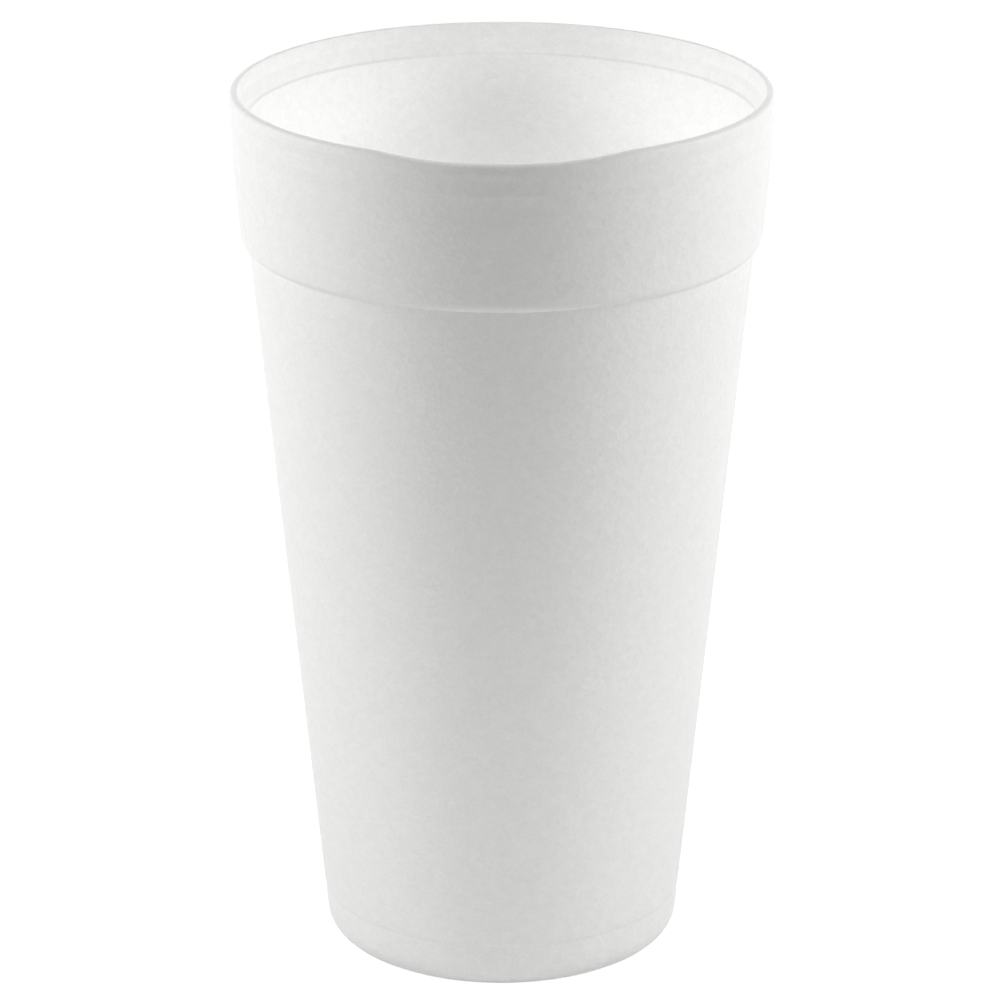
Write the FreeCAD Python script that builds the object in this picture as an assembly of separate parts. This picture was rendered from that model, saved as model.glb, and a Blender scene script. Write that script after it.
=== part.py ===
"""Drinking cup moulded in one piece from expanded polystyrene foam.

The cup is a tapered shell with a plain floor. Its upper end is a raised band,
the collar, with a slim lip above it that stands a little further out.
Inside, a ledge below the lip is where the next cup of a stack is stopped.
Two fine moulding lines run round the outside, on the lip and above the foot.

Frame: millimetres, +Z up, origin at the middle of the foot, on the surface
that the cup stands on. Every section is turned about the Z axis.
"""
import FreeCAD, Part
import math
import os

# Overall sizes
CUP_HEIGHT = 156.0
RIM_DIAMETER = 94.0
BASE_DIAMETER = 62.3        # plain side carried on down to the table

# Shell
WALL_THICKNESS = 2.2        # square to the side, below the collar
FLOOR_THICKNESS = 3.8
FLOOR_FILLET = 4.0          # inside, where the floor meets the side

# Foot
FOOT_ROUND = 4.4            # outer edge of the foot
FOOT_WIDTH = 7.2            # from the plain side in to the recess
RECESS_DEPTH = 1.2
RECESS_ROUND = 0.6
RECESS_SLOPE = 1.0          # run of the recess's flared edge
SEAM_HEIGHT = 8.8           # moulding line round the side, above the table

# Collar: insets are from the rim's radius, drops from the rim's top
CREASE_DROP = 27.1          # where the collar ends and the plain side starts
CREASE_INSET = 2.97
CREASE_ROUND = 0.25
SHOULDER_DROP = 26.3        # lower corner of the collar before rounding
SHOULDER_INSET = 1.68
SHOULDER_ROUND = 2.0
CROWN_DROP = 11.5           # the collar leans in below this, and is upright above
CROWN_INSET = 0.38
CROWN_ROUND = 8.0
COLLAR_TOP_DROP = 7.6       # upper end of the collar, where the lip swells out
COLLAR_TOP_INSET = 0.4
COLLAR_TOP_ROUND = 2.5

# Lip
LIP_FOOT_DROP = 5.6         # lower corner of the lip before rounding
LIP_FOOT_INSET = 0.08
LIP_FOOT_ROUND = 1.5
LIP_WAIST_INSET = 0.18      # the lip is a little slimmer at its moulding line
LIP_LINE_DROP = 3.4
UPRIGHT_BAND = 1.9          # upright part of the lip's outside
UPRIGHT_ROUND = 1.0
RIM_ROUND = 0.9             # outer top edge
RIM_LAND = 1.1              # rim's top, out to the outer face
RIM_INNER_ROUND = 0.3
BEVEL_DROP = 1.5            # foot of the bevel inside the rim
BEVEL_WIDTH = 0.45
BEVEL_FOOT_ROUND = 0.8
BEAD_DROP = 2.75            # fine bead inside the lip
BEAD_LENGTH = 0.5
BEAD_STEP = 0.25
BEAD_ROUND = 0.3
LEDGE_DROP = 5.2            # stacking ledge, at the lip's inner wall
LEDGE_FALL = 0.6            # how far the ledge slopes down towards the middle
LEDGE_ROUND = 0.4

# Moulding lines: fine vee grooves
LINE_WIDTH = 0.5
LINE_DEPTH = 0.18
LINE_ROUND = 0.1

# Dependent sizes
RIM_RADIUS = RIM_DIAMETER / 2
BASE_RADIUS = BASE_DIAMETER / 2
CREASE_HEIGHT = CUP_HEIGHT - CREASE_DROP
CREASE_RADIUS = RIM_RADIUS - CREASE_INSET
SIDE_SLOPE = (CREASE_RADIUS - BASE_RADIUS) / CREASE_HEIGHT
WALL_ACROSS = WALL_THICKNESS * math.hypot(1.0, SIDE_SLOPE)
FLOOR_TOP = RECESS_DEPTH + FLOOR_THICKNESS


def side_radius(height):
    """Radius of the plain outer side, or of its extension, at a height."""
    return BASE_RADIUS + SIDE_SLOPE * height


def bore_radius(height):
    """Radius of the straight inner side at a height."""
    return side_radius(height) - WALL_ACROSS


def waist_radius(height):
    """Radius of the lip's waist, the same at each height of its moulding line."""
    return RIM_RADIUS - LIP_WAIST_INSET


def line_corners(radius_at, height):
    """Fine vee groove in a side whose radius is radius_at(height), going up."""
    below = height - LINE_WIDTH / 2
    above = height + LINE_WIDTH / 2
    return [
        (radius_at(below), below, LINE_ROUND),
        (radius_at(height) - LINE_DEPTH, height, LINE_ROUND),
        (radius_at(above), above, LINE_ROUND),
    ]


def foot_corners():
    """Underside, foot and plain side, from the axis out and up."""
    recess_edge = BASE_RADIUS - FOOT_WIDTH
    return [
        (0.0, RECESS_DEPTH, 0.0),
        (recess_edge - RECESS_SLOPE, RECESS_DEPTH, RECESS_ROUND),
        (recess_edge, 0.0, RECESS_ROUND),
        (BASE_RADIUS, 0.0, FOOT_ROUND),
    ] + line_corners(side_radius, SEAM_HEIGHT)


def collar_corners():
    """Crease and collar, going up."""
    return [
        (CREASE_RADIUS, CREASE_HEIGHT, CREASE_ROUND),
        (RIM_RADIUS - SHOULDER_INSET, CUP_HEIGHT - SHOULDER_DROP, SHOULDER_ROUND),
        (RIM_RADIUS - CROWN_INSET, CUP_HEIGHT - CROWN_DROP, CROWN_ROUND),
        (RIM_RADIUS - COLLAR_TOP_INSET, CUP_HEIGHT - COLLAR_TOP_DROP, COLLAR_TOP_ROUND),
    ]


def lip_corners():
    """Outside of the lip, from its foot up to the rim's outer edge."""
    band = CUP_HEIGHT - UPRIGHT_BAND
    return [
        (RIM_RADIUS - LIP_FOOT_INSET, CUP_HEIGHT - LIP_FOOT_DROP, LIP_FOOT_ROUND),
    ] + line_corners(waist_radius, CUP_HEIGHT - LIP_LINE_DROP) + [
        (RIM_RADIUS, band, UPRIGHT_ROUND),
        (RIM_RADIUS, CUP_HEIGHT, RIM_ROUND),
    ]


def bore_corners():
    """Rim's top and the inside, down to the floor and back to the axis."""
    land_end = RIM_RADIUS - RIM_LAND
    bevel_foot = land_end - BEVEL_WIDTH
    lip_bore = bevel_foot - BEAD_STEP
    bead_foot = CUP_HEIGHT - BEAD_DROP - BEAD_LENGTH
    ledge_foot = CUP_HEIGHT - LEDGE_DROP - LEDGE_FALL
    return [
        (land_end, CUP_HEIGHT, RIM_INNER_ROUND),
        (bevel_foot, CUP_HEIGHT - BEVEL_DROP, BEVEL_FOOT_ROUND),
        (bevel_foot, CUP_HEIGHT - BEAD_DROP, BEAD_ROUND),
        (lip_bore, bead_foot, BEAD_ROUND),
        (lip_bore, CUP_HEIGHT - LEDGE_DROP, LEDGE_ROUND),
        (bore_radius(ledge_foot), ledge_foot, LEDGE_ROUND),
        (bore_radius(FLOOR_TOP), FLOOR_TOP, FLOOR_FILLET),
        (0.0, FLOOR_TOP, 0.0),
    ]


def turn_angle(before, corner, after):
    """How far an outline turns at a corner, in radians, always positive."""
    heading_in = math.atan2(corner[1] - before[1], corner[0] - before[0])
    heading_out = math.atan2(after[1] - corner[1], after[0] - corner[0])
    turn = heading_out - heading_in
    return abs(math.atan2(math.sin(turn), math.cos(turn)))


def tangent_lengths(corners):
    """Length that each corner's rounding takes from the lines beside it.

    Where two roundings would need more than the line between them, both are
    made smaller in the same share.
    """
    last = len(corners) - 1
    lengths = [0.0] * len(corners)
    for i in range(1, last):
        turn = turn_angle(corners[i - 1], corners[i], corners[i + 1])
        lengths[i] = corners[i][2] * math.tan(turn / 2)
    shares = [1.0] * len(corners)
    for i in range(last):
        line = math.dist(corners[i][:2], corners[i + 1][:2])
        wanted = lengths[i] + lengths[i + 1]
        if wanted > line:
            shares[i] = min(shares[i], line / wanted)
            shares[i + 1] = min(shares[i + 1], line / wanted)
    return [length * share for length, share in zip(lengths, shares)]


def point_towards(start, end, distance):
    """Point on the line from start to end, a distance away from start."""
    share = distance / math.dist(start[:2], end[:2])
    radius = start[0] + share * (end[0] - start[0])
    height = start[1] + share * (end[1] - start[1])
    return FreeCAD.Vector(radius, 0.0, height)


def rounding_middle(corner, start, end, turn):
    """Middle point of the arc that rounds a corner from start to end."""
    tip = FreeCAD.Vector(corner[0], 0.0, corner[1])
    chord_middle = (start + end) * 0.5
    to_tip = tip - chord_middle
    sagitta = (end - start).Length / 2 * math.tan(turn / 4)
    return chord_middle + to_tip * (sagitta / to_tip.Length)


def outline_edges(corners):
    """Lines and tangent arcs through (radius, height, rounding) corners."""
    lengths = tangent_lengths(corners)
    edges = []
    here = point_towards(corners[0], corners[1], 0.0)
    for i in range(1, len(corners)):
        corner = corners[i]
        start = point_towards(corner, corners[i - 1], lengths[i])
        if (start - here).Length > 1e-6:
            edges.append(Part.LineSegment(here, start).toShape())
        here = start
        if lengths[i] > 0.0:
            end = point_towards(corner, corners[i + 1], lengths[i])
            turn = turn_angle(corners[i - 1], corner, corners[i + 1])
            middle = rounding_middle(corner, start, end, turn)
            edges.append(Part.Arc(start, middle, end).toShape())
            here = end
    return edges


def cup_section():
    """Closed half section of the cup, from the axis outwards."""
    corners = foot_corners() + collar_corners() + lip_corners() + bore_corners()
    edges = outline_edges(corners)
    axis_top = FreeCAD.Vector(0.0, 0.0, FLOOR_TOP)
    axis_bottom = FreeCAD.Vector(0.0, 0.0, RECESS_DEPTH)
    edges.append(Part.LineSegment(axis_top, axis_bottom).toShape())
    return Part.Face(Part.Wire(edges))


def foam_cup():
    """The whole cup: its half section turned once round the axis."""
    origin = FreeCAD.Vector(0.0, 0.0, 0.0)
    up = FreeCAD.Vector(0.0, 0.0, 1.0)
    turned = cup_section().revolve(origin, up, 360.0)
    return Part.Solid(turned.Shells[0])


os.makedirs("parts", exist_ok=True)
foam_cup().exportStep("parts/foam_cup.step")
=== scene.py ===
"""Foam drinking cup: expanded polystyrene, moulded in one piece, on a white table.

A Geometry Nodes lathe turns the cup from one half section. The same tree
gives its skin shallow waves, and its rim a soft low point in front.
Lengths are in metres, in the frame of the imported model: +Z up, the origin at
the middle of the foot, the front towards -Y.
"""
import math

import bpy
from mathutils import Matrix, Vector


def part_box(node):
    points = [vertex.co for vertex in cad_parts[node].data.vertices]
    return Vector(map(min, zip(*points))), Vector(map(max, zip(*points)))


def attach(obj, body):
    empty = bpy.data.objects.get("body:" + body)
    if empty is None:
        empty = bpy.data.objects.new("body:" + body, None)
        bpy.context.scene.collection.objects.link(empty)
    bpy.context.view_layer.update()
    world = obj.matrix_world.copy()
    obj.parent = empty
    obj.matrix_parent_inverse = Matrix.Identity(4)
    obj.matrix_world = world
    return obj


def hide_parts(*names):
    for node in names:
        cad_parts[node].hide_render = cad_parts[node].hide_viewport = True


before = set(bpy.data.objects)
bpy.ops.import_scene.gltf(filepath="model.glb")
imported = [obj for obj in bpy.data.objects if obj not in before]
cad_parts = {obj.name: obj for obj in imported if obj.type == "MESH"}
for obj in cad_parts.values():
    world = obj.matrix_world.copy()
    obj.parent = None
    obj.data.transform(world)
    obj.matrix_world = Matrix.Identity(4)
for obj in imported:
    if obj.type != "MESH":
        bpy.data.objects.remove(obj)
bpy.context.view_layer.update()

MM = 0.001
LEVEL = (1.0, 1.0, 0.0)         # leaves the height out of a place
DOWN = (0.0, 0.0, -1.0)
NODE = "foam_cup"
BODY = "root"


# ---------------------------------------------------------------- helpers

# the sRGB curve: straight near black, a shifted power above that
SRGB_STRAIGHT_END = 0.04045
SRGB_STRAIGHT_SLOPE = 12.92
SRGB_SHIFT = 0.055
SRGB_POWER = 2.4

# sockets of a Mix node that share one name
MIX_NUMBERS = (2, 3)
MIX_COLOURS = (6, 7)
MIXED_COLOUR = 2


def channel_to_linear(value):
    """Linear value of one sRGB channel, both from 0 to 1."""
    if value <= SRGB_STRAIGHT_END:
        return value / SRGB_STRAIGHT_SLOPE
    return ((value + SRGB_SHIFT) / (1.0 + SRGB_SHIFT)) ** SRGB_POWER


def to_linear(hex_colour):
    """Linear RGBA of an sRGB hex colour such as "F0F0EF"."""
    channels = bytes.fromhex(hex_colour)
    return (*[channel_to_linear(channel / 255) for channel in channels], 1.0)


def add_node(tree, kind, inputs=None, **settings):
    """Add one node with its settings; an input is a value or a socket to link."""
    node = tree.nodes.new(kind)
    for name, value in settings.items():
        setattr(node, name, value)
    for key, value in (inputs or {}).items():
        if isinstance(value, bpy.types.NodeSocket):
            tree.links.new(value, node.inputs[key])
        else:
            node.inputs[key].default_value = value
    return node


def add_object(name, data):
    """Put a new object with this mesh, camera or lamp into the scene."""
    thing = bpy.data.objects.new(name, data)
    bpy.context.scene.collection.objects.link(thing)
    return thing


# ----------------------------------------------------------------- camera

CAMERA_PLACE = (-0.3 * MM, -850.0 * MM, 378.8 * MM)
CAMERA_TILT = math.radians(70.67)   # up from straight down
CAMERA_LENS = 183.4             # millimetres, as the sensor's width
CAMERA_SENSOR = 36.0


def make_camera():
    """A long lens in front of the cup, looking a little down on it."""
    data = bpy.data.cameras.new("camera")
    data.sensor_width = CAMERA_SENSOR
    data.lens = CAMERA_LENS
    camera = add_object("camera", data)
    camera.location = CAMERA_PLACE
    camera.rotation_euler = (CAMERA_TILT, 0.0, 0.0)
    bpy.context.scene.camera = camera


# ---------------------------------------------------------- half section

low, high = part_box(NODE)
CUP_HEIGHT = high.z
RIM_RADIUS = min(high.x, high.y, -low.x, -low.y)

BASE_RADIUS = 31.15 * MM        # plain side carried on down to the table
WALL_THICKNESS = 2.2 * MM       # square to the side, below the collar
FLOOR_TOP = 5.0 * MM            # the cup's floor inside, above the table
FLOOR_FILLET = 4.0 * MM         # inside, where the floor meets the side

FOOT_ROUND = 4.4 * MM           # outer edge of the foot
FOOT_WIDTH = 7.2 * MM           # from the plain side in to the recess
RECESS_DEPTH = 1.2 * MM
RECESS_ROUND = 0.6 * MM
RECESS_SLOPE = 1.0 * MM         # run of the recess's flared edge

# corners of the collar, the lip and the inside: the inset from the rim's
# radius, the drop from the rim's top, and the radius of the rounding
CREASE = (2.97 * MM, 27.1 * MM, 0.25 * MM)
SHOULDER = (1.68 * MM, 26.3 * MM, 2.0 * MM)
CROWN = (0.38 * MM, 11.5 * MM, 8.0 * MM)
COLLAR_TOP = (0.4 * MM, 7.6 * MM, 2.5 * MM)

LIP_FOOT = (0.08 * MM, 5.6 * MM, 1.5 * MM)
LIP_WAIST = (0.22 * MM, 3.2 * MM, 0.8 * MM)
UPRIGHT = (0.0, 1.8 * MM, 0.8 * MM)
RIM_EDGE = (0.15 * MM, 0.0, 1.0 * MM)
RIM_INNER = (1.45 * MM, 0.0, 0.3 * MM)
BEVEL_FOOT = (1.75 * MM, 1.5 * MM, 0.8 * MM)
BEAD_TOP = (1.85 * MM, 2.75 * MM, 0.3 * MM)
BEAD_FOOT = (2.25 * MM, 3.75 * MM, 0.3 * MM)
LEDGE = (2.7 * MM, 5.2 * MM, 0.3 * MM)

LEDGE_FALL = 0.4 * MM           # slope of the stacking ledge, down to the bore
LEDGE_ROUND = 0.3 * MM

SEAM_HEIGHT = 8.8 * MM          # moulding line round the side, above the table
SEAM_DEPTH = 0.2 * MM           # soft step at the moulding line
SEAM_STEP = 0.6 * MM            # how far the step takes, going up
SEAM_ROUND = 0.3 * MM
SWELL_RUN = 2.6 * MM            # below the step the side swells back to its line
SWELL_ROUND = 2.6 * MM

CREASE_HEIGHT = CUP_HEIGHT - CREASE[1]
SIDE_SLOPE = (RIM_RADIUS - CREASE[0] - BASE_RADIUS) / CREASE_HEIGHT
WALL_ACROSS = WALL_THICKNESS * math.hypot(1.0, SIDE_SLOPE)

# longest steps between two rings of the mesh
STEP_UNDER = 3.0 * MM
STEP_OUTSIDE = 1.15 * MM
STEP_INSIDE = 1.7 * MM
ARC_STEP = math.radians(14.0)   # widest turn between two rings on a rounding
LEAST_ARC_STEPS = 2


def side_radius(height):
    """Radius of the plain outer side at a height."""
    return BASE_RADIUS + SIDE_SLOPE * height


def bore_radius(height):
    """Radius of the straight inner side at a height."""
    return side_radius(height) - WALL_ACROSS


def seam_corners():
    """Moulding line above the foot: a soft step in the side, going up."""
    start = SEAM_HEIGHT - SWELL_RUN
    below = SEAM_HEIGHT - SEAM_STEP / 2
    above = SEAM_HEIGHT + SEAM_STEP / 2
    return [
        (side_radius(start), start, SWELL_ROUND),
        (side_radius(below) - SEAM_DEPTH, below, SEAM_ROUND),
        (side_radius(above), above, SEAM_ROUND),
    ]


def from_rim(inset, drop, rounding):
    """Corner given by its distances from the rim's outer top edge."""
    return (RIM_RADIUS - inset, CUP_HEIGHT - drop, rounding)


def under_corners():
    """Underside with its shallow recess, out to the foot's edge."""
    recess_edge = BASE_RADIUS - FOOT_WIDTH
    return [
        (0.0, RECESS_DEPTH, 0.0),
        (recess_edge - RECESS_SLOPE, RECESS_DEPTH, RECESS_ROUND),
        (recess_edge, 0.0, RECESS_ROUND),
        (BASE_RADIUS, 0.0, FOOT_ROUND),
    ]


def outside_corners():
    """Plain side, collar, lip and rim, going up."""
    forms = [CREASE, SHOULDER, CROWN, COLLAR_TOP]
    forms += [LIP_FOOT, LIP_WAIST, UPRIGHT, RIM_EDGE]
    return seam_corners() + [from_rim(*form) for form in forms]


def inside_corners():
    """Rim's top, lip, stacking ledge, plain bore and floor, going down."""
    ledge_foot = CUP_HEIGHT - LEDGE[1] - LEDGE_FALL
    lip = [RIM_INNER, BEVEL_FOOT, BEAD_TOP, BEAD_FOOT, LEDGE]
    return [from_rim(*form) for form in lip] + [
        (bore_radius(ledge_foot), ledge_foot, LEDGE_ROUND),
        (bore_radius(FLOOR_TOP), FLOOR_TOP, FLOOR_FILLET),
        (0.0, FLOOR_TOP, 0.0),
    ]


def turn_at(before, corner, after):
    """How far the outline turns at a corner, in radians, with its sign."""
    heading_in = math.atan2(corner[1] - before[1], corner[0] - before[0])
    heading_out = math.atan2(after[1] - corner[1], after[0] - corner[0])
    turn = heading_out - heading_in
    return math.atan2(math.sin(turn), math.cos(turn))


def tangent_lengths(corners):
    """Length that each rounding takes from the lines beside it.

    Where two roundings want more than the line between them, both are made
    smaller in the same share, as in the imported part.
    """
    last = len(corners) - 1
    lengths = [0.0] * len(corners)
    for i in range(1, last):
        turn = abs(turn_at(corners[i - 1], corners[i], corners[i + 1]))
        lengths[i] = corners[i][2] * math.tan(turn / 2)
    shares = [1.0] * len(corners)
    for i in range(last):
        line = math.dist(corners[i][:2], corners[i + 1][:2])
        wanted = lengths[i] + lengths[i + 1]
        if wanted > line:
            shares[i] = min(shares[i], line / wanted)
            shares[i + 1] = min(shares[i + 1], line / wanted)
    return [length * share for length, share in zip(lengths, shares)]


def rounding_points(before, corner, after, length):
    """Points on the tangent arc that rounds one corner, or the bare corner."""
    tip = Vector(corner[:2])
    turn = turn_at(before, corner, after)
    if length == 0.0 or turn == 0.0:
        return [tip]
    start = tip + (Vector(before[:2]) - tip).normalized() * length
    radius = length / math.tan(abs(turn) / 2)
    ahead = (tip - start).normalized()
    aside = Vector((-ahead.y, ahead.x)) * math.copysign(1.0, turn)
    centre = start + aside * radius
    steps = max(LEAST_ARC_STEPS, math.ceil(abs(turn) / ARC_STEP))
    points = []
    for i in range(steps + 1):
        angle = abs(turn) * i / steps
        points.append(
            centre - aside * radius * math.cos(angle)
            + ahead * radius * math.sin(angle)
        )
    return points


def outline_points(corners, step_after):
    """Points along the whole outline, no further apart than step_after allows."""
    lengths = tangent_lengths(corners)
    points = [Vector(corners[0][:2])]
    for i in range(1, len(corners)):
        if i < len(corners) - 1:
            trio = (corners[i - 1], corners[i], corners[i + 1])
            arc = rounding_points(*trio, lengths[i])
        else:
            arc = [Vector(corners[i][:2])]
        run = arc[0] - points[-1]
        steps = max(1, math.ceil(run.length / step_after[i - 1]))
        start = points[-1]
        points += [start + run * n / steps for n in range(1, steps)]
        points += arc
    return points


def half_section():
    """The cup's half section, from the axis below its floor to the axis above it."""
    groups = [
        (under_corners(), STEP_UNDER),
        (outside_corners(), STEP_OUTSIDE),
        (inside_corners(), STEP_INSIDE),
    ]
    corners = [corner for group, _ in groups for corner in group]
    steps = [step for group, step in groups for _ in group]
    return outline_points(corners, steps)


# ------------------------------------------------------------------ lathe

WELD = 0.004 * MM               # joins the turn's two ends, and each pole
DIP_REACH = math.radians(30.0)  # how far round from the front the rim is low
NOISE_DETAIL = 1.0              # one finer layer in each noise

LATHE_INPUTS = {
    "Columns": 270,             # flats round the cup
    "Height": CUP_HEIGHT,
    "Ripple depth": 0.06 * MM,  # shallow waves in the moulded skin
    "Ripple width": 9.0 * MM,
    "Ripple seed": 4.0,
    "Front dip": 0.95 * MM,     # soft low point of the rim at the front
    "Dip depth": 24.0 * MM,     # how far down the collar the low point dies out
}


def name_socket(tree, name, kind, way="INPUT"):
    """Give a tree a named input, or an output."""
    tree.interface.new_socket(name=name, in_out=way, socket_type=kind)


def lathe_tree(material):
    """Geometry Nodes: turn a half section, ripple its skin, dip its rim."""
    tree = bpy.data.node_groups.new("lathe", "GeometryNodeTree")
    name_socket(tree, "Section", "NodeSocketGeometry")
    for name, value in LATHE_INPUTS.items():
        whole = isinstance(value, int)
        name_socket(tree, name, "NodeSocketInt" if whole else "NodeSocketFloat")
    name_socket(tree, "Cup", "NodeSocketGeometry", way="OUTPUT")
    given = tree.nodes.new("NodeGroupInput").outputs
    index = tree.nodes.new("GeometryNodeInputIndex").outputs[0]
    place = tree.nodes.new("GeometryNodeInputPosition").outputs[0]
    normal = tree.nodes.new("GeometryNodeInputNormal").outputs[0]

    # a grid with one row for each point of the section, bent round the axis
    rows = add_node(tree, "GeometryNodeAttributeDomainSize", {
        "Geometry": given["Section"],
    }, component="MESH").outputs["Point Count"]
    stops = add_node(tree, "FunctionNodeIntegerMath", {
        0: given["Columns"], 1: 1,
    }, operation="ADD")
    grid = add_node(tree, "GeometryNodeMeshGrid", {
        "Vertices X": stops.outputs[0], "Vertices Y": rows,
    })
    row = add_node(tree, "FunctionNodeIntegerMath", {
        0: index, 1: rows,
    }, operation="MODULO")
    column = add_node(tree, "FunctionNodeIntegerMath", {
        0: index, 1: rows,
    }, operation="DIVIDE_FLOOR")
    sample = add_node(tree, "GeometryNodeSampleIndex", {
        "Geometry": given["Section"], "Value": place, "Index": row.outputs[0],
    }, data_type="FLOAT_VECTOR", domain="POINT")
    angle = add_node(tree, "ShaderNodeMapRange", {
        "Value": column.outputs[0], "From Max": given["Columns"],
        "To Max": math.tau,
    })
    turned = add_node(tree, "ShaderNodeVectorRotate", {
        "Vector": sample.outputs["Value"], "Angle": angle.outputs[0],
    }, rotation_type="Z_AXIS")
    lathed = add_node(tree, "GeometryNodeSetPosition", {
        "Geometry": grid.outputs["Mesh"], "Position": turned.outputs[0],
    })
    welded = add_node(tree, "GeometryNodeMergeByDistance", {
        "Geometry": lathed.outputs[0], "Distance": WELD,
    })

    # shallow waves, always inwards, so the cup keeps inside its own size
    density = add_node(tree, "ShaderNodeMath", {
        0: 1.0, 1: given["Ripple width"],
    }, operation="DIVIDE")
    noise = add_node(tree, "ShaderNodeTexNoise", {
        "Vector": place, "W": given["Ripple seed"],
        "Scale": density.outputs[0], "Detail": NOISE_DETAIL,
    }, noise_dimensions="4D")
    depth = add_node(tree, "ShaderNodeMath", {
        0: noise.outputs[0], 1: given["Ripple depth"],
    }, operation="MULTIPLY")
    outwards = add_node(tree, "ShaderNodeVectorMath", {
        0: normal, "Scale": depth.outputs[0],
    }, operation="SCALE")
    sunk = add_node(tree, "ShaderNodeVectorMath", {
        0: place, 1: outwards.outputs[0],
    }, operation="SUBTRACT")
    rippled = add_node(tree, "GeometryNodeSetPosition", {
        "Geometry": welded.outputs[0], "Position": sunk.outputs[0],
    })

    # the rim's low point in front, fading out down the collar
    level = add_node(tree, "ShaderNodeVectorMath", {
        0: place, 1: LEVEL,
    }, operation="MULTIPLY")
    heading = add_node(tree, "ShaderNodeVectorMath", {
        0: level.outputs[0],
    }, operation="NORMALIZE")
    towards = add_node(tree, "ShaderNodeSeparateXYZ", {0: heading.outputs[0]})
    front = add_node(tree, "ShaderNodeMapRange", {
        "Value": towards.outputs["Y"],
        "From Min": -math.cos(DIP_REACH), "From Max": -1.0,
    }, interpolation_type="SMOOTHSTEP")
    sag = add_node(tree, "ShaderNodeMath", {
        0: front.outputs[0], 1: given["Front dip"],
    }, operation="MULTIPLY")
    start = add_node(tree, "ShaderNodeMath", {
        0: given["Height"], 1: given["Dip depth"],
    }, operation="SUBTRACT")
    height = add_node(tree, "ShaderNodeSeparateXYZ", {0: place}).outputs["Z"]
    fade = add_node(tree, "ShaderNodeMapRange", {
        "Value": height, "From Min": start.outputs[0], "From Max": given["Height"],
    }, interpolation_type="SMOOTHSTEP")
    lowered = add_node(tree, "ShaderNodeMath", {
        0: sag.outputs[0], 1: fade.outputs[0],
    }, operation="MULTIPLY")
    down = add_node(tree, "ShaderNodeVectorMath", {
        0: DOWN, "Scale": lowered.outputs[0],
    }, operation="SCALE")
    dipped = add_node(tree, "GeometryNodeSetPosition", {
        "Geometry": rippled.outputs[0], "Offset": down.outputs[0],
    })

    smooth = add_node(tree, "GeometryNodeSetShadeSmooth", {0: dipped.outputs[0]})
    real = add_node(tree, "GeometryNodeRealizeInstances", {0: smooth.outputs[0]})
    dressed = add_node(tree, "GeometryNodeSetMaterial", {
        "Geometry": real.outputs[0], "Material": material,
    })
    add_node(tree, "NodeGroupOutput", {0: dressed.outputs[0]})
    return tree


def turned_cup(material):
    """The cup as one plain mesh, with no modifier left on it."""
    section = bpy.data.meshes.new("section")
    points = half_section()
    edges = [(i, i + 1) for i in range(len(points) - 1)]
    section.from_pydata([(p.x, 0.0, p.y) for p in points], edges, [])
    maker = add_object("maker", section)
    modifier = maker.modifiers.new("lathe", "NODES")
    modifier.node_group = lathe_tree(material)
    for item in modifier.node_group.interface.items_tree:
        if item.name in LATHE_INPUTS:
            modifier[item.identifier] = LATHE_INPUTS[item.name]
    evaluated = maker.evaluated_get(bpy.context.evaluated_depsgraph_get())
    mesh = bpy.data.meshes.new_from_object(evaluated)
    mesh.name = "cup_shell"
    # an empty slot may come before the foam's
    while mesh.materials[0] is None:
        mesh.materials.pop(index=0)
    bpy.data.objects.remove(maker)
    return add_object("cup_shell", mesh)


# -------------------------------------------------------------- materials

FOAM = "FBFBFA"
BEAD = 1.25 * MM                # beads of the foam, once swollen
SKIN_GRAIN = 0.42 * MM          # fine mottling of the moulded skin
MOTTLE = 0.8                    # share of the fine mottling in the skin's tone
TONES = (0.86, 1.0)             # share of the colour, from dark to light spots
GRAIN_SHARE = 0.5               # height of the fine mottling, beside a bead's
SKIN_HEIGHT = 0.04 * MM         # height of the skin's pattern
SKIN_ROUGHNESS = (0.5, 0.66)
FOAM_IOR = 1.45


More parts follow.
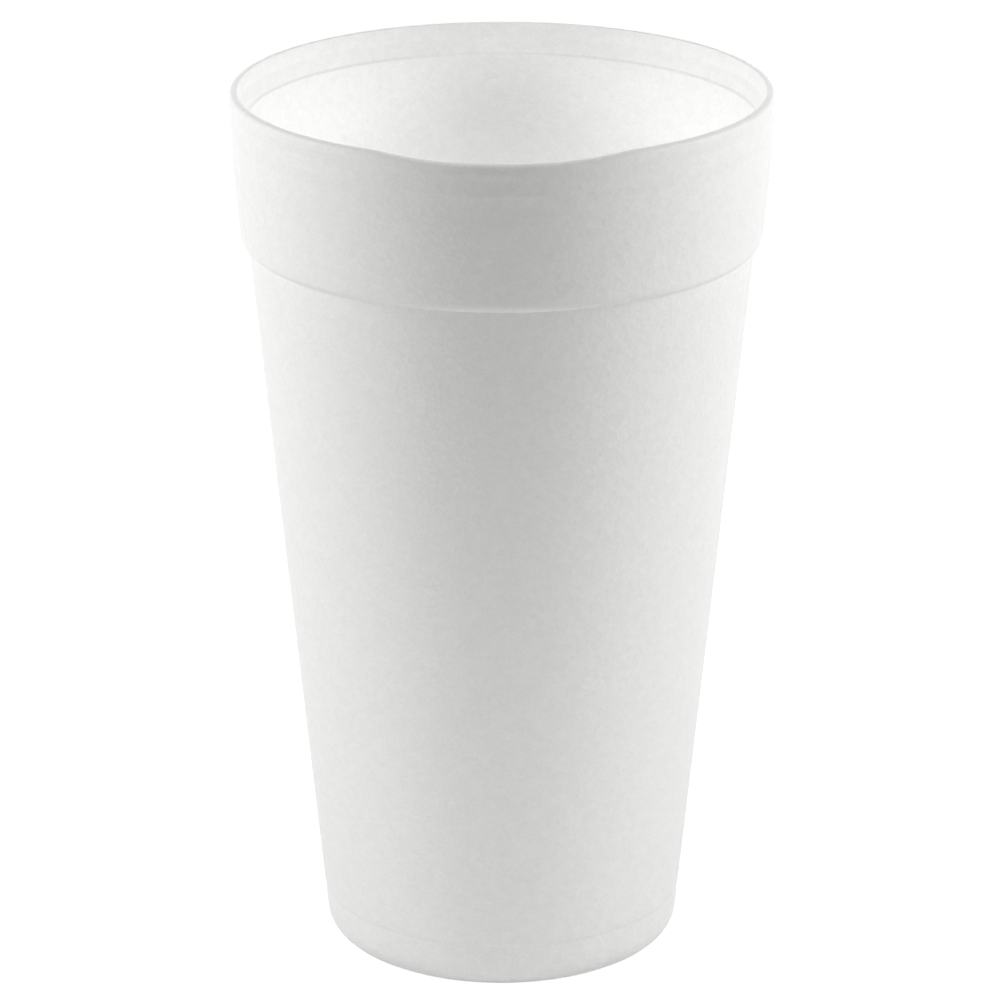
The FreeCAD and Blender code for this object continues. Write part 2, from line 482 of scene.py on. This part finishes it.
def foam_material():
    """Expanded polystyrene, moulded: beads pressed flat against a warm mould.

    It gives a matt white skin with a faint pattern of beads and fine spots,
    and a little soft shine.
    """
    material = bpy.data.materials.new("expanded_polystyrene_moulded")
    material.use_nodes = True
    tree = material.node_tree
    tree.nodes.clear()
    place = tree.nodes.new("ShaderNodeTexCoord").outputs["Object"]
    beads = add_node(tree, "ShaderNodeTexVoronoi", {
        "Vector": place, "Scale": 1.0 / BEAD,
    })
    grain = add_node(tree, "ShaderNodeTexNoise", {
        "Vector": place, "Scale": 1.0 / SKIN_GRAIN, "Detail": NOISE_DETAIL,
    })
    bead_tone = add_node(tree, "ShaderNodeSeparateColor", {0: beads.outputs["Color"]})
    mottled = add_node(tree, "ShaderNodeMix", {
        0: MOTTLE,
        MIX_NUMBERS[0]: bead_tone.outputs[0], MIX_NUMBERS[1]: grain.outputs[0],
    })
    tone = add_node(tree, "ShaderNodeMapRange", {
        "Value": mottled.outputs[0], "To Min": TONES[0], "To Max": TONES[1],
    })
    colour = add_node(tree, "ShaderNodeMix", {
        0: 1.0, MIX_COLOURS[0]: to_linear(FOAM), MIX_COLOURS[1]: tone.outputs[0],
    }, data_type="RGBA", blend_type="MULTIPLY")
    skin = add_node(tree, "ShaderNodeMath", {
        0: grain.outputs[0], 1: GRAIN_SHARE, 2: beads.outputs["Distance"],
    }, operation="MULTIPLY_ADD")
    bump = add_node(tree, "ShaderNodeBump", {
        "Distance": SKIN_HEIGHT, "Height": skin.outputs[0],
    })
    rough = add_node(tree, "ShaderNodeMapRange", {
        "Value": grain.outputs[0],
        "To Min": SKIN_ROUGHNESS[0], "To Max": SKIN_ROUGHNESS[1],
    })
    foam = add_node(tree, "ShaderNodeBsdfPrincipled", {
        "Base Color": colour.outputs[MIXED_COLOUR],
        "Roughness": rough.outputs[0],
        "Normal": bump.outputs[0],
        "IOR": FOAM_IOR,
    })
    add_node(tree, "ShaderNodeOutputMaterial", {"Surface": foam.outputs[0]})
    return material


# ------------------------------------------------------- floor and light

FLOOR_HALF = 4.0                # half of the floor's side
FLOOR_COLOUR = "E8E8E8"
FLOOR_SHADE = "A8A8A8"          # colour for seen rays, on top of the glow
FLOOR_GLOW = 0.94               # of white, for seen rays alone
WORLD_COLOUR = "FFFFFF"
WORLD_FILL = 0.14               # of white, for light that falls on the cup


def seen_rays(tree):
    """1 for rays that look at the backdrop: camera, mirror and glass rays."""
    path = tree.nodes.new("ShaderNodeLightPath").outputs
    opaque = add_node(tree, "ShaderNodeMath", {
        0: path["Is Camera Ray"], 1: path["Is Glossy Ray"],
    }, operation="MAXIMUM")
    return add_node(tree, "ShaderNodeMath", {
        0: opaque.outputs[0], 1: path["Is Transmission Ray"],
    }, operation="MAXIMUM").outputs[0]


def make_floor():
    """Table top in pressed laminate, which gives an even, matt white.

    For seen rays it glows to white, and it keeps the cup's shadow. From below
    it is clear, so that the cup's underside can be looked at.
    """
    mesh = bpy.data.meshes.new("table_top")
    signs = [(-1, -1), (1, -1), (1, 1), (-1, 1)]
    corners = [(x * FLOOR_HALF, y * FLOOR_HALF, 0.0) for x, y in signs]
    mesh.from_pydata(corners, [], [(0, 1, 2, 3)])
    floor = add_object("table_top", mesh)
    material = bpy.data.materials.new("white_laminate_pressed")
    material.use_nodes = True
    tree = material.node_tree
    tree.nodes.clear()
    seen = seen_rays(tree)
    shade = add_node(tree, "ShaderNodeMix", {
        0: seen,
        MIX_COLOURS[0]: to_linear(FLOOR_COLOUR),
        MIX_COLOURS[1]: to_linear(FLOOR_SHADE),
    }, data_type="RGBA")
    pale = add_node(tree, "ShaderNodeBsdfDiffuse", {
        "Color": shade.outputs[MIXED_COLOUR],
    })
    strength = add_node(tree, "ShaderNodeMath", {
        0: seen, 1: FLOOR_GLOW,
    }, operation="MULTIPLY")
    glow = add_node(tree, "ShaderNodeEmission", {"Strength": strength.outputs[0]})
    lit = add_node(tree, "ShaderNodeAddShader", {
        0: pale.outputs[0], 1: glow.outputs[0],
    })
    clear = tree.nodes.new("ShaderNodeBsdfTransparent")
    under = tree.nodes.new("ShaderNodeNewGeometry").outputs["Backfacing"]
    surface = add_node(tree, "ShaderNodeMixShader", {
        0: under, 1: lit.outputs[0], 2: clear.outputs[0],
    })
    add_node(tree, "ShaderNodeOutputMaterial", {"Surface": surface.outputs[0]})
    mesh.materials.append(material)


def make_world():
    """White all round for seen rays, and a grey fill for the cup."""
    world = bpy.data.worlds.new("studio")
    bpy.context.scene.world = world
    world.use_nodes = True
    tree = world.node_tree
    tree.nodes.clear()
    strength = add_node(tree, "ShaderNodeMapRange", {
        "Value": seen_rays(tree), "To Min": WORLD_FILL, "To Max": 1.0,
    })
    sky = add_node(tree, "ShaderNodeBackground", {
        "Color": to_linear(WORLD_COLOUR), "Strength": strength.outputs[0],
    })
    add_node(tree, "ShaderNodeOutputWorld", {"Surface": sky.outputs[0]})


# name, place, height on the axis that it points at, width and height, watts;
# the lengths are in metres
LAMPS = [
    ("side_left", (-0.441, 0.0, 0.355), 0.12, (0.12, 0.2), 1.06),
    ("side_right", (0.441, 0.0, 0.355), 0.12, (0.12, 0.2), 1.06),
    ("wrap_left", (-0.439, -0.16, 0.3), 0.12, (0.2, 0.2), 0.61),
    ("wrap_right", (0.439, -0.16, 0.3), 0.12, (0.2, 0.2), 0.61),
    ("low_front", (0.0, -0.16, 0.012), 0.02, (0.2, 0.02), 0.03),
    ("back", (0.0, 0.5, 0.3), 0.1, (0.3, 0.3), 0.6),
]

# stands for the light that thin foam walls let through into the cup
GLOW_PLACE = (0.0, 12.0 * MM, 115.0 * MM)
GLOW_RADIUS = 15.0 * MM
GLOW_WATTS = 0.0165


def add_lamp(name, kind, place, watts):
    """A lamp that lights the cup and isn't itself in the view."""
    data = bpy.data.lights.new(name, kind)
    data.energy = watts
    lamp = add_object(name, data)
    lamp.location = place
    lamp.visible_camera = False
    return lamp


def make_lamps():
    """Soft lamps at both sides, in front and behind, aimed at the axis."""
    for name, place, aim, (width, height), watts in LAMPS:
        lamp = add_lamp(name, "AREA", place, watts)
        lamp.data.shape = "RECTANGLE"
        lamp.data.size = width
        lamp.data.size_y = height
        ahead = Vector((0.0, 0.0, aim)) - lamp.location
        lamp.rotation_euler = ahead.to_track_quat("-Z", "Y").to_euler()


def make_glow():
    """A small soft lamp inside the cup."""
    lamp = add_lamp("wall_glow", "POINT", GLOW_PLACE, GLOW_WATTS)
    lamp.data.shadow_soft_size = GLOW_RADIUS


# ------------------------------------------------------------------ build

make_camera()
cup = turned_cup(foam_material())
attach(cup, BODY)
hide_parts(NODE)
make_floor()
make_world()
make_lamps()
make_glow()

bpy.context.scene.view_settings.view_transform = "Standard"
